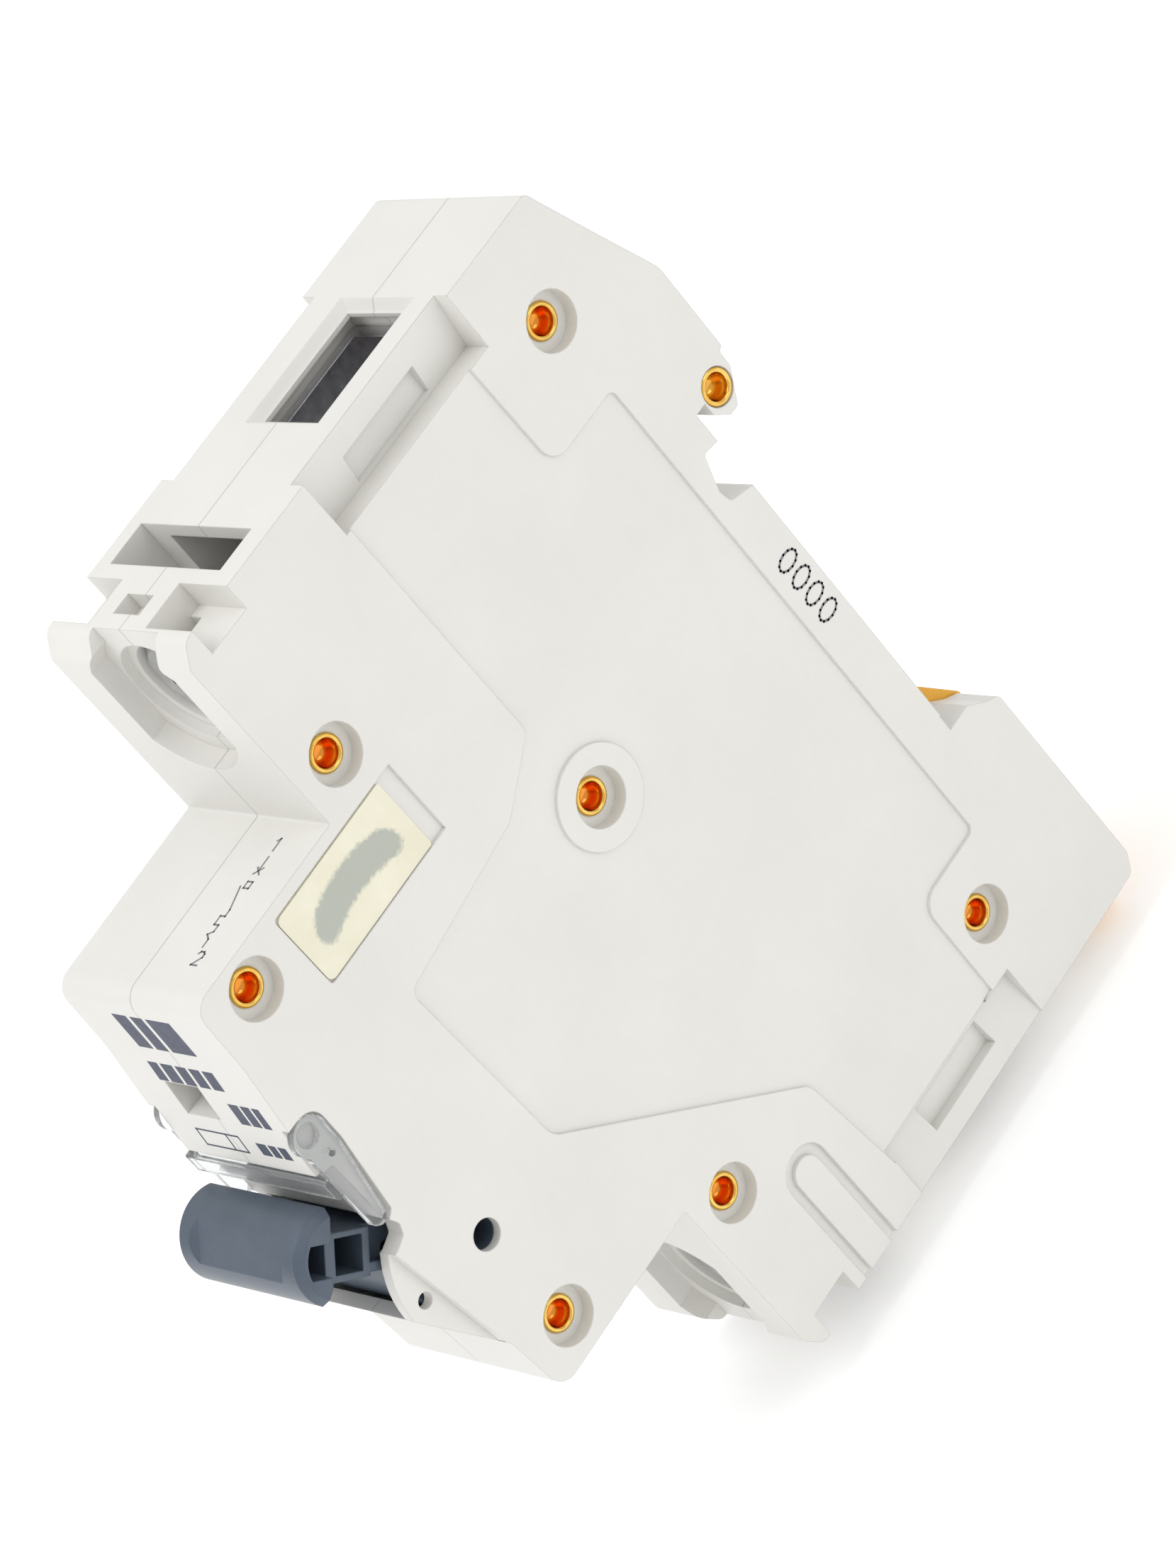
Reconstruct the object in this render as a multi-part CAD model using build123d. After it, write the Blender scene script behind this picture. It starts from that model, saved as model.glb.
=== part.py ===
"""Single-pole miniature circuit breaker, one module wide, for a 35 mm top-hat rail.

Frame: X across the width, +Y towards the rail, +Z up towards the line terminal.
The origin is at mid width, on the rail seat, at the rail's centre line.  All sizes are millimetres.
Side outlines are lists of (y, z) corners, each with an optional third value, its corner radius.
"""
import os
from math import cos, radians, sin

from build123d import *

# ---- driving dimensions: body --------------------------------------------------------------
WIDTH = 17.6            # one module
HEIGHT = 81.2           # top face to bottom face
WINDOW = 45.0           # height of the raised front, the opening in a panel's cover
SHOULDER = 43.85        # rail seat to the terminal faces
FRONT = 61.2            # rail seat to the face behind the marker cover
BACK = 5.4              # rail seat to the back plane behind the rail
RAIL = 35.0             # height of the top-hat rail
RAIL_GAP = 0.25         # clearance above and below the rail
RAIL_BRIM = 1.15        # rail sheet and its clearance, held behind the hooks
WALL = 1.5              # side and front walls
SEAT_WALL = 4.1         # solid wall behind the rail seat
SEAT_RELIEF = 0.1       # step that clears the seat's end from the clip's nose
PANEL_DEPTH = 0.25      # sunk side panel
TOP_PLATE = 1.2         # roof of each terminal chamber
FUNNEL_POCKET = 2.5     # height of the pocket in each side funnel

# ---- driving dimensions: fasteners and pins --------------------------------------------------
RIVET_R = 1.1           # tubular end of a rivet
RIVET_BORE = 0.95
RIVET_DEPTH = 1.9       # depth of the bore from each head
RIVET_HEAD_R = 1.525
RIVET_HEAD = 0.25
RIVET_GAP = 0.05
COUNTERBORE_R = 2.35
COUNTERBORE = 1.3
BOSS = 1.05             # wall of plastic round a rivet hole
PIN_R = 1.0             # carrier pin and trip lever pin
PIN_SOCKET = 0.6
RUN = 0.05              # radial clearance of anything that turns or slides
MOVE_GAP = 0.3          # clearance beside moving pieces

# ---- driving dimensions: handle --------------------------------------------------------------
HANDLE_SET = 4.65       # pivot behind the front face
HANDLE_Z = -8.8
HANDLE_ON = 43.0        # degrees above straight out
HANDLE_OFF = 7.0
DRUM_R = 6.0
TRUNNION_R = 2.2
TIE_BORE = 1.25         # bore that takes a tie pin through neighbouring handles
CHEEK = 1.8             # slot wall: side face to the slot
CHEEK_STEP = 0.8        # outer step of the hood cheeks
STEM_LOW = -1.8
STEM_HIGH = 1.85
STEM_END = 13.15
GRIP_TIP = 16.15
GRIP_INSET = 1.05       # side face to the end of the grip
FRAME_WALL = 0.95       # ribs round the hollow pockets of stem and grip
GRIP_FLAT = 0.4         # depth of the finger flat across the grip's round face
SEAL_R = 0.65
LINK_R = 0.5

# ---- driving dimensions: terminals -----------------------------------------------------------
TERMINAL_DROP = 6.6     # end face to the screw axis
TERMINAL_X = 0.3
SCREW_R = 2.45
SCREW_HEAD_R = 3.7
SCREW_HEAD = 2.8
CHAMBER_HALF = 5.05
CHAMBER_FRONT = 36.4
CHAMBER_BACK = 9.95
CHAMBER_DEPTH = 5.0     # below the screw axis, towards the mechanism
CAGE_WALL = 0.9
CAGE_HALF = 4.8
CAGE_TALL = 8.0
NUT_WALL = 2.8
NUT_FRONT = 25.6
BAR = 1.2
BAR_HALF = 3.7
BAR_FRONT = 22.6

# ---- driving dimensions: magnet, contacts and arc chute --------------------------------------
COIL_Z = 17.5
PLUNGER_R = 2.7
FORMER_WALL = 0.45
WINDING = 1.4           # thickness of the wire on the former
YOKE_FRONT = 35.6
YOKE_REAR = 17.7
YOKE_SHEET = 1.0
STRIKER_R = 0.6
CARRIER_HALF = 1.6
CARRIER_Y, CARRIER_Z = -34.0, -15.5
PAD_R = 1.3
PAD_THICK = 0.8
PAD_Z = -0.1
PAD_FACE = 24.2         # face of the fixed contact
CONTACT_GAP = 0.05
TRIP_Y, TRIP_Z = -44.0, -14.0
TRIP_X0, TRIP_X1 = 3.4, 5.6
PLATE = 0.9
PLATE_PITCH = 2.1
PLATE_COUNT = 9
PLATE_TOP = -1.0
CHUTE_FRONT, CHUTE_REAR = 21.2, 5.2

# ---- driving dimensions: rail clip and marker cover ------------------------------------------
CLIP_HALF = 4.0
CLIP_RIB = 1.2
CLIP_GAP = 0.15
CLIP_END = 4.06         # how far the clip stands below the case
CLIP_SLOT_HALF = 1.6
CLIP_SPRING_R = 1.3
COVER_SHEET = 0.75
COVER_HUB_Z = 8.5
COVER_HUB_R = 1.6
COVER_PIN_R = 0.92

# ---- places that follow from them ------------------------------------------------------------
HALF = WIDTH / 2
INNER = HALF - WALL
TOP = HEIGHT / 2
SHELF = WINDOW / 2
HOOK = RAIL / 2 + RAIL_GAP
PIVOT_Y = -FRONT + HANDLE_SET
SLOT_HALF = HALF - CHEEK
DRUM_HALF = SLOT_HALF - 1.4
STEM_HALF = SLOT_HALF - MOVE_GAP
GRIP_HALF = HALF - GRIP_INSET
TERMINAL_Z = TOP - TERMINAL_DROP
CHAMBER_Z = TERMINAL_Z - CHAMBER_DEPTH
CAVITY_Z = CHAMBER_Z - 2.0
RIVET_HOLE = RIVET_R + RIVET_GAP
BOSS_R = RIVET_HOLE + BOSS
BOSS_FOOT = HALF - COUNTERBORE - WALL - 0.1
HUB_Y = -FRONT + 0.14
FORMER_BORE = PLUNGER_R + RUN
FORMER_R = FORMER_BORE + FORMER_WALL
COIL_R = FORMER_R + WINDING
YOKE_HALF = COIL_R - 0.1
YOKE_TALL = COIL_R + MOVE_GAP + YOKE_SHEET
RIVETS = [  # (y, z, True where the head sits in a counterbore)
    (-4.4, TOP - 8.15, True), (2.9, HOOK, False), (-39.9, 25.5, True), (-56.4, 19.4, True),
    (-26.5, 5.1, True), (-8.0, -TOP + 9.95, True), (-39.9, -25.3, True), (-56.3, -19.0, True),
]


# ---- drawing helpers -------------------------------------------------------------------------
def area(*corners):
    """A flat closed outline from corners (a, b) or (a, b, corner radius)."""
    radii = [corner[2] if len(corner) > 2 else 0 for corner in corners]
    return make_face(FilletPolyline(*[corner[:2] for corner in corners], radius=radii, close=True))


def disc(a, b, radius):
    return Pos(a, b) * Circle(radius)


def oblong(a0, a1, b0, b1):
    return Pos((a0 + a1) / 2, (b0 + b1) / 2) * Rectangle(a1 - a0, b1 - b0)


def slab(sketch, x0, x1):
    """A side outline in (y, z), solid from x0 to x1."""
    return extrude(Plane.YZ.offset(x0) * sketch, x1 - x0)


def block(x0, x1, y0, y1, z0, z1):
    return Pos((x0 + x1) / 2, (y0 + y1) / 2, (z0 + z1) / 2) * Box(x1 - x0, y1 - y0, z1 - z0)


def bar_x(y, z, radius, x0, x1):
    return Pos((x0 + x1) / 2, y, z) * Rot(0, 90, 0) * Cylinder(radius, x1 - x0)


def bar_y(x, z, radius, y0, y1):
    return Pos(x, (y0 + y1) / 2, z) * Rot(90, 0, 0) * Cylinder(radius, y1 - y0)


def bar_z(x, y, radius, z0, z1):
    return Pos(x, y, (z0 + z1) / 2) * Cylinder(radius, z1 - z0)


def handle_plane(angle):
    """Plane whose first axis points out along the handle and whose second is square to it."""
    return Plane((0, PIVOT_Y, HANDLE_Z), x_dir=(0, -cos(radians(angle)), sin(radians(angle))),
                 z_dir=(-1, 0, 0))


def on_handle(sketch, half, angle=HANDLE_ON):
    """A handle outline in (outward, across), solid over the width from -half to half."""
    return extrude(handle_plane(angle) * sketch, half, both=True)


def below(solid):
    """The same piece at the lower terminal."""
    return mirror(solid, about=Plane.XY)


# ---- the two halves of the case --------------------------------------------------------------
def case_outline():
    """Side view of the closed case, hood cheeks included."""
    front = -FRONT
    side = area(
        (0.46, TOP, 0.6), (2.9, TOP - 6.35, 8), (BACK, 27.95, 3), (BACK, 19.6, 0.2), (4.95, 19.4, 0.3),
        (4.9, HOOK + 0.2, 0.5), (3.3, HOOK - 2.4, 0.3), (2.3, HOOK - 2.4, 0.2), (RAIL_BRIM, HOOK - 1.2),
        (RAIL_BRIM, HOOK), (0, HOOK), (0, 14.95), (-1.6, 15.2, 0.4), (-2.6, 12.2, 1.2), (-2.3, 10.9, 0.5),
        (0, 10.2), (0, -HOOK + 1.6), (-SEAT_RELIEF, -HOOK + 1.6), (-SEAT_RELIEF, -HOOK), (2.4, -HOOK),
        (3.8, -HOOK - 1.2, 1), (5.2, -HOOK - 2.0, 0.6),
        (BACK, -TOP + 1.6, 1), (4.5, -TOP, 0.8), (-42.6, -TOP, 1), (-SHOULDER, -TOP + 1.75, 1),
        (-SHOULDER, -SHELF, 0.2), (front + 0.6, -SHELF, 1.8), (front + 0.2, -16.2, 1),
        (front - 0.1, -15.6), (front - 3.8, -8.4), (front - 1.7, -3.35, 0.1), (front, -2.8, 0.4),
        (front + 0.4, -1.9, 0.5), (front, -0.9, 0.4), (front, 5.4, 0.1), (front - 1.47, 5.7, 0.15),
        (front - 0.7, 11.8, 12), (front - 0.05, 16.2, 10), (front + 0.3, SHELF, 1.6),
        (-SHOULDER, SHELF, 0.2), (-SHOULDER, TOP - 1.75, 1), (-42.6, TOP, 1))
    hood_reach = oblong(front - 5, front + 1, -8.4, -3.2)
    return side + (disc(PIVOT_Y, HANDLE_Z, 8.4) & hood_reach)


def rivet_bosses():
    """Solid columns inside the case round the rivets, with wider feet behind the counterbores."""
    solids = []
    for y, z, sunk in RIVETS:
        solids.append(bar_x(y, z, BOSS_R, -INNER, INNER))
        for side in (1, -1):
            ends = sorted((side * BOSS_FOOT, side * INNER))
            solids.append(bar_x(y, z, COUNTERBORE_R + 0.55, *ends))
    return solids


def inner_hollow():
    """Room for the mechanism: behind the terminal walls and inside the raised front."""
    front_z = SHELF - WALL - 0.1
    room = oblong(-SHOULDER + WALL + 0.05, -SEAT_WALL, -CAVITY_Z, CAVITY_Z)
    room += oblong(-FRONT + WALL + 0.1, -SHOULDER + WALL + 0.05, -front_z, front_z)
    hollow = slab(room, -INNER, INNER)
    for boss in rivet_bosses():
        hollow -= boss
    return hollow


def locating_ribs():
    """Ribs on the side walls that hold the magnet frame, fixed contact and arc runner."""
    ribs = []
    for side in (1, -1):
        for y0, y1 in ((-YOKE_FRONT, -YOKE_FRONT + 1.5), (-YOKE_REAR - 1.5, -YOKE_REAR)):
            ends = sorted((side * YOKE_HALF, side * INNER))
            ribs.append(block(*ends, y0, y1, COIL_Z - YOKE_TALL, COIL_Z - YOKE_TALL + 3.0))
        ends = sorted((side * 3.0, side * INNER))
        ribs.append(block(*ends, -13.0, -11.0, -21.6, -20.6))
    ribs.append(block(2.5, INNER, -PAD_FACE + PAD_THICK, -PAD_FACE + PAD_THICK + 1.0, 4.0, 8.0))
    return ribs


def handle_slot():
    """Round room for the drum and the slot that the handle's stem swings through."""
    room = slab(disc(PIVOT_Y, HANDLE_Z, DRUM_R + 0.4), -SLOT_HALF, SLOT_HALF)
    low = handle_plane(HANDLE_OFF)
    near = low.from_local_coords((4.0, STEM_LOW - 0.6, 0))
    far = low.from_local_coords((14.0, STEM_LOW - 0.6, 0))
    swing = area((near.Y, near.Z), (far.Y, far.Z), (far.Y, -1.3), (near.Y + 2, -1.3))
    return room + slab(swing, -SLOT_HALF, SLOT_HALF)


def cheek_steps():
    """The hood cheeks stand back from the side faces in front of a slanting line."""
    front = -FRONT
    strip = area((front - 5, -3.0), (front - 1.55, -3.0), (front - 0.05, -15.6), (front - 5, -15.6))
    depth = HALF - CHEEK_STEP
    return slab(strip, depth, HALF + 1) + slab(strip, -HALF - 1, -depth)


def cover_recesses():
    """Side recesses for the marker cover's arms, and the sockets of its pivot pins."""
    strip = area((HUB_Y - 3, COVER_HUB_Z + 1.75), (HUB_Y, COVER_HUB_Z + 1.75, 1.7),
                 (HUB_Y + 1.75, COVER_HUB_Z + 1.5, 1.5), (HUB_Y + 1.65, COVER_HUB_Z - 2.0),
                 (HUB_Y + 0.62, -0.6, 0.4), (HUB_Y - 0.4, -1.2, 0.3), (HUB_Y - 3, -1.2))
    floor = HALF - COVER_SHEET - RUN
    cut = slab(strip, floor, HALF + 1) + slab(strip, -HALF - 1, -floor)
    socket = floor - 0.8
    cut += bar_x(HUB_Y, COVER_HUB_Z, COVER_PIN_R + RUN, socket, floor)
    return cut + bar_x(HUB_Y, COVER_HUB_Z, COVER_PIN_R + RUN, -floor, -socket)


def side_panel():
    """Sunk panel of each side face, less the island round the middle rivet."""
    panel = area((-27.5, TOP - 5.2), (-12.0, TOP - 5.2), (-11.8, 25.0, 1.8), (-4.13, 25.0, 0.7),
                 (-4.13, -25.0, 0.7), (-11.8, -25.0, 1.8), (-11.9, -TOP + 5.3), (-28.1, -TOP + 3.9),
                 (-29.2, -25.7, 1.5), (-47.5, -8.6, 2), (-48.06, 8.7, 1), (-33.3, 10.3, 1), (-27.5, 13.7, 1))
    panel -= disc(-26.5, 5.1, 4.1)
    depth = HALF - PANEL_DEPTH
    return slab(panel, depth, HALF + 1) + slab(panel, -HALF - 1, -depth)


def film_recess():
    outline = area((-52.0, 14.5, 0.3), (-37.4, 14.5), (-37.4, 21.5), (-52.0, 21.5, 0.3))
    return slab(outline, HALF - 0.3, HALF + 1)


def grip_groove():
    """Narrow groove round a raised thumb rib low on the side face."""
    outer = area((-36.4, -TOP - 1), (-36.4, -28.0, 2.2), (-31.8, -28.0, 2.2), (-31.8, -TOP - 1))
    inner = area((-35.5, -TOP - 1), (-35.5, -28.9, 1.38), (-32.7, -28.9, 1.38), (-32.7, -TOP - 1))
    return slab(outer - inner, HALF - 0.4, HALF + 1)


def label_window():
    """Opening in the front face that shows the position flag."""
    return block(-3.8, 0.4, -FRONT - 3, -FRONT + 3, 10.2, 13.4)


def terminal_cuts():
    """Everything cut at the upper terminal: chamber, screw bore, cable and fork openings, notches."""
    x, z = TERMINAL_X, TERMINAL_Z
    roof = TOP - TOP_PLATE
    cut = block(x - CHAMBER_HALF, x + CHAMBER_HALF, -CHAMBER_FRONT, -CHAMBER_BACK, CHAMBER_Z, roof)
    # bore for the screw head, hole for its shank, slot for the bar
    cut += bar_y(x, z, SCREW_HEAD_R + 0.4, -SHOULDER - 1, -SHOULDER + 5.85)
    cut += bar_y(x, z, SCREW_R + 0.35, -SHOULDER, -CHAMBER_FRONT + 1)
    cut += block(x - BAR_HALF - 0.1, x + BAR_HALF + 0.1, -BAR_FRONT - 0.1, -BAR_FRONT + BAR + 0.1,
                 CAVITY_Z - 1, CHAMBER_Z + 1)
    # stepped recess round the bore, open through the lip
    cut += bar_y(x, z, 4.9, -SHOULDER - 1, -SHOULDER + 2.6)
    ring = bar_y(x, z, 6.3, -SHOULDER - 1, -SHOULDER + 1.8) & block(x - 5.2, x + 5.2, -60, -30, z - 8, z + 8)
    cut += ring + block(x - 3.6, x + 4.6, -SHOULDER - 1, -SHOULDER + 1.8, z, TOP + 1)
    # cable window with a bevelled rim
    window = Pos(0.55, -16.0, TOP) * Rectangle(8.9, 12.4)
    cut += extrude(window, -0.8, taper=38) + block(-3.1, 4.2, -21.4, -10.6, roof - 1, TOP + 1)
    # slot for the fork of a busbar
    cut += block(x - CHAMBER_HALF, 6.6, -36.1, -32.2, roof - 0.5, TOP + 1)
    cut += block(-7.2, 6.6, -36.1, -32.2, TOP - 5.0, TOP + 1)
    # corner notches in front of it and the blind pocket between them
    for x0, x1 in ((3.0, HALF + 1), (-HALF - 1, -4.2)):
        cut += block(x0, x1, -41.7, -37.5, TOP - 2.3, TOP + 1)
    cut += block(3.0, 4.4, -41.2, -38.6, z + 2, TOP)
    cut += block(-2.2, 1.05, -40.6, -38.75, TOP - 1.5, TOP + 1)
    return cut


def cable_funnels(outer, inner, low):
    """Slanting funnels in both side faces at the upper end, with a shallow pocket low mm above their edge.

    outer and inner are the funnel's depths at the end face and at its inner edge.
    """
    end = TOP - 5.2
    cut = []
    for side in (1, -1):
        slope = make_face(Polyline((side * (HALF + 1), TOP + 1), (side * (HALF - outer), TOP + 1),
                                   (side * (HALF - outer), TOP), (side * (HALF - inner), end),
                                   (side * (HALF + 1), end), close=True))
        cut.append(extrude(Plane.XZ.offset(9.7) * slope, 18.3))
        pocket = sorted((side * (HALF - inner - 0.3), side * (HALF + 1)))
        cut.append(block(*pocket, -23.3, -14.4, end + low, end + low + FUNNEL_POCKET))
    return cut


def clip_channel():
    """Channel in the back for the rail clip, with a groove on each side for its ribs."""
    wide = CLIP_HALF + CLIP_GAP
    groove = wide + CLIP_RIB
    channel = block(-wide, wide, 0.45, BACK + 1, -TOP - 1, -HOOK + 3)
    channel += block(-groove, groove, 1.45, 3.35, -TOP - 1, -26.0)
    peg = block(-CLIP_SLOT_HALF + 0.2, CLIP_SLOT_HALF - 0.2, 0.45, 3.6, -35.2, -34.0)
    return channel - peg


def pin_sockets():
    """Blind and through holes in the side walls for pivots."""
    cut = bar_x(PIVOT_Y, HANDLE_Z, TRUNNION_R + RUN, -HALF + 0.85, HALF - 0.85)
    cut += bar_x(PIVOT_Y, HANDLE_Z, TIE_BORE, -HALF - 1, HALF + 1)
    cut += bar_x(-FRONT - 2.0, -8.2, SEAL_R, -HALF - 1, HALF + 1)
    cut += bar_x(CARRIER_Y, CARRIER_Z, PIN_R, -INNER - PIN_SOCKET, INNER + PIN_SOCKET)
    cut += bar_x(TRIP_Y, TRIP_Z, PIN_R, 0, INNER + PIN_SOCKET)
    return cut + bar_x(FLAG_Y, FLAG_Z, FLAG_PIN_R + RUN, -INNER - PIN_SOCKET, INNER + PIN_SOCKET)


def rivet_holes():
    cuts = []
    for y, z, sunk in RIVETS:
        cuts.append(bar_x(y, z, RIVET_HOLE, -HALF - 1, HALF + 1))
        depth = COUNTERBORE if sunk else RIVET_HEAD
        radius = COUNTERBORE_R if sunk else RIVET_HEAD_R + RIVET_GAP
        cuts.append(bar_x(y, z, radius, HALF - depth, HALF + 1))
        cuts.append(bar_x(y, z, radius, -HALF - 1, -HALF + depth))
    return cuts


def case_halves():
    """The right (+X) and left shells, parted on the middle plane."""
    body = slab(case_outline(), -HALF, HALF)
    body -= inner_hollow()
    for rib in locating_ribs():
        body += rib
    upper = terminal_cuts()
    cuts = [upper, below(upper), clip_channel(), pin_sockets(), *rivet_holes()]
    cuts += cable_funnels(1.5, 2.6, 0.4) + [below(cut) for cut in cable_funnels(0.15, 1.2, 0.9)]
    cuts += [handle_slot(), cheek_steps(), cover_recesses(), side_panel()]
    cuts += [film_recess(), grip_groove(), label_window()]
    for cut in cuts:
        body -= cut
    reach = 2 * (HEIGHT + FRONT)
    right = body & block(0, reach, -reach, reach, -reach, reach)
    left = body & block(-reach, 0, -reach, reach, -reach, reach)
    left += block(-INNER, 2.0, -47.0, -45.6, -14.5, -9.5)    # ledge behind the contact spring
    return right, left


def rivets():
    """Eight semi-tubular rivets, flared at both ends, that hold the halves together."""
    tubes = []
    for y, z, sunk in RIVETS:
        seat = HALF - (COUNTERBORE if sunk else RIVET_HEAD)
        end = seat + RIVET_HEAD
        tube = bar_x(y, z, RIVET_R, -end, end) + bar_x(y, z, RIVET_HEAD_R, seat, end)
        tube += bar_x(y, z, RIVET_HEAD_R, -end, -seat)
        tube -= bar_x(y, z, RIVET_BORE, end - RIVET_DEPTH, end + 1)
        tubes.append(tube - bar_x(y, z, RIVET_BORE, -end - 1, -end + RIVET_DEPTH))
    return Compound(children=tubes)


# ---- handle, link and position flag ----------------------------------------------------------
CRANK_Y, CRANK_Z = PIVOT_Y + 1.2, HANDLE_Z + 3.6
LINK_Y, LINK_Z = CARRIER_Y - 2.0, CARRIER_Z + 7.5
LINK_X = -DRUM_HALF - 0.75
FLAG_Y, FLAG_Z = -FRONT + 6.4, 8.0
FLAG_R = 4.5
FLAG_PIN_R = 0.8


def toggle_handle():
    """Rocking handle: drum on two hollow trunnions, framed stem, D-shaped hollow grip."""
    arc = ThreePointArc((STEM_END, 3.95), (GRIP_TIP, 0.55), (STEM_END + 0.6, -3.2))
    under = Polyline((STEM_END + 0.6, -3.2), (STEM_END + 0.25, -2.4), (STEM_END, STEM_LOW), (STEM_END, 3.95))
    grip = on_handle(make_face([arc, *under.edges()]), GRIP_HALF)
    ends = grip.faces().sort_by(Axis.X)
    tips = ends[0].edges().filter_by(GeomType.CIRCLE) + ends[-1].edges().filter_by(GeomType.CIRCLE)
    grip = chamfer(tips, 0.6)
    top = handle_plane(HANDLE_ON)
    low, high = GRIP_TIP - GRIP_FLAT, GRIP_TIP + 0.6
    flat = area((low, -5.2), (high, -7.0), (high, 6.6), (low, 5.2))
    grip -= extrude(Plane(top.origin, x_dir=top.x_dir, z_dir=top.y_dir) * flat, 5, both=True)
    stem = on_handle(oblong(9.1, STEM_END, STEM_LOW, STEM_HIGH), STEM_HALF)
    stem += on_handle(oblong(3.0, 9.1, STEM_LOW, STEM_HIGH), DRUM_HALF)
    stem += on_handle(oblong(7.4, 9.1, STEM_LOW + 0.3, STEM_LOW + 1.0), STEM_HALF)
    drum = bar_x(PIVOT_Y, HANDLE_Z, DRUM_R, -DRUM_HALF, DRUM_HALF)
    drum += bar_x(PIVOT_Y, HANDLE_Z, TRUNNION_R, -HALF + 0.9, HALF - 0.9)
    handle = grip + stem + drum
    low, high = STEM_LOW + 0.5, STEM_HIGH - 0.42
    stem_room = on_handle(oblong(9.1 + 0.6, STEM_END - 1.0, low, high), HALF)
    arc_room = disc(GRIP_TIP - 3.65, 0.2, 2.75) & oblong(STEM_END - 0.1, GRIP_TIP, low + 0.2, high)
    rooms = stem_room + on_handle(arc_room, HALF)
    handle -= rooms - block(-FRAME_WALL / 2, FRAME_WALL / 2, -90, -30, -40, 40)
    handle -= bar_x(PIVOT_Y, HANDLE_Z, TIE_BORE, -HALF, HALF)
    seal = handle_plane(HANDLE_OFF).to_local_coords(Vector(0, -FRONT - 2.0, -8.2))
    handle -= on_handle(disc(seal.X, seal.Y, SEAL_R), HALF)
    return handle - bar_x(CRANK_Y, CRANK_Z, LINK_R + RUN, -DRUM_HALF - 1, -DRUM_HALF + 3.2)


def handle_spring():
    """Torsion spring round the right trunnion, its tail lying along the side wall."""
    body = bar_x(PIVOT_Y, HANDLE_Z, TRUNNION_R + 0.85, DRUM_HALF + 0.1, SLOT_HALF - 0.1)
    body += bar_y(DRUM_HALF + 1.0, HANDLE_Z - TRUNNION_R - 0.5, 0.35, PIVOT_Y, PIVOT_Y + 6.0)
    return body - bar_x(PIVOT_Y, HANDLE_Z, TRUNNION_R + 0.15, 0, HALF)


def link_wire():
    """Bent wire from the drum's crank hole to the contact carrier."""
    def leg(y, z, inner_x):
        return bar_x(y, z, LINK_R, LINK_X, inner_x)

    run = Plane.YZ.offset(LINK_X) * Line((CRANK_Y, CRANK_Z), (LINK_Y, LINK_Z))
    wire = sweep(Plane(run @ 0, z_dir=run % 0) * Circle(LINK_R), path=run)
    for y, z in ((CRANK_Y, CRANK_Z), (LINK_Y, LINK_Z)):
        wire += Pos(LINK_X, y, z) * Sphere(LINK_R)
    return wire + leg(CRANK_Y, CRANK_Z, -DRUM_HALF + 3.0) + leg(LINK_Y, LINK_Z, CARRIER_HALF - 0.4)


def indicator_flag():
    """Curved two-colour flag on a cross shaft, seen through the front window."""
    plate = disc(FLAG_Y, FLAG_Z, FLAG_R) - disc(FLAG_Y, FLAG_Z, FLAG_R - 0.8)
    plate &= area((FLAG_Y, FLAG_Z), (FLAG_Y - 8, FLAG_Z - 2.9), (FLAG_Y - 8, FLAG_Z + 8),
                  (FLAG_Y + 0.6, FLAG_Z + 8))
    flag = slab(plate, -4.4, 1.0)
    spoke = area((FLAG_Y, FLAG_Z - 0.9), (FLAG_Y - FLAG_R + 0.5, FLAG_Z - 0.9), (FLAG_Y - 3.2, FLAG_Z + 2.4),
                 (FLAG_Y, FLAG_Z + FLAG_R - 0.4))
    for x in (-4.4, 0.2):
        flag += slab(spoke, x, x + 0.8)
    end = INNER + PIN_SOCKET - 0.1
    flag += bar_x(FLAG_Y, FLAG_Z, 1.3, -4.4, 1.0)
    return flag + bar_x(FLAG_Y, FLAG_Z, FLAG_PIN_R, -end, end)


# ---- contacts and trip parts -----------------------------------------------------------------
CONTACT_Y = -PAD_FACE - CONTACT_GAP - PAD_THICK     # front face of the moving arm's tip
STRIP_Y = -PAD_FACE + PAD_THICK


def contact_arm():
    """Copper arm, bent upright at the tip."""
    y = CONTACT_Y
    outline = area((y - 4.85, -12.4, 0.4), (y, -2.7, 1), (y, 1.4, 0.3), (y - BAR, 1.4, 0.3),
                   (y - BAR, -2.4, 0.6), (y - 5.95, -11.9))
    return slab(outline, -CARRIER_HALF, CARRIER_HALF)


def contact_carrier():
    """Plastic lever behind the copper arm, turning on the carrier pin."""
    y, z = CARRIER_Y, CARRIER_Z
    back = CONTACT_Y - 5.95
    outline = area((y - 2.5, z - 0.7), (y - 3.6, z + 6.9, 1), (y - 2.4, z + 9.1, 1), (y + 0.5, z + 9.1, 1),
                   (back + 2.4, z + 12.3, 0.8), (back + 4.0, -3.9), (back, -11.9), (back - 0.3, z + 0.3))
    outline += disc(y, z, 2.6)
    lever = slab(outline, -CARRIER_HALF, CARRIER_HALF)
    lever -= bar_x(y, z, PIN_R + RUN, -3, 3)
    return lever - bar_x(LINK_Y, LINK_Z, LINK_R + 0.25, -3, 3)


def moving_contact_pad():
    return bar_y(0, PAD_Z, PAD_R, CONTACT_Y, CONTACT_Y + PAD_THICK)


def fixed_contact_pad():
    return bar_y(0, PAD_Z, PAD_R, -PAD_FACE, STRIP_Y)


def fixed_contact_strip():
    return block(-2.5, 2.5, STRIP_Y, STRIP_Y + 1.0, -1.8, COIL_Z - YOKE_TALL - 1.0)


def carrier_pin():
    return bar_x(CARRIER_Y, CARRIER_Z, PIN_R, -INNER - PIN_SOCKET, INNER + PIN_SOCKET)


def contact_spring():
    """Compression spring between the case ledge and the carrier."""
    return bar_y(0, -12.0, 1.6, -45.6, -37.75) - bar_y(0, -12.0, 1.0, -46, -37)


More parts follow.
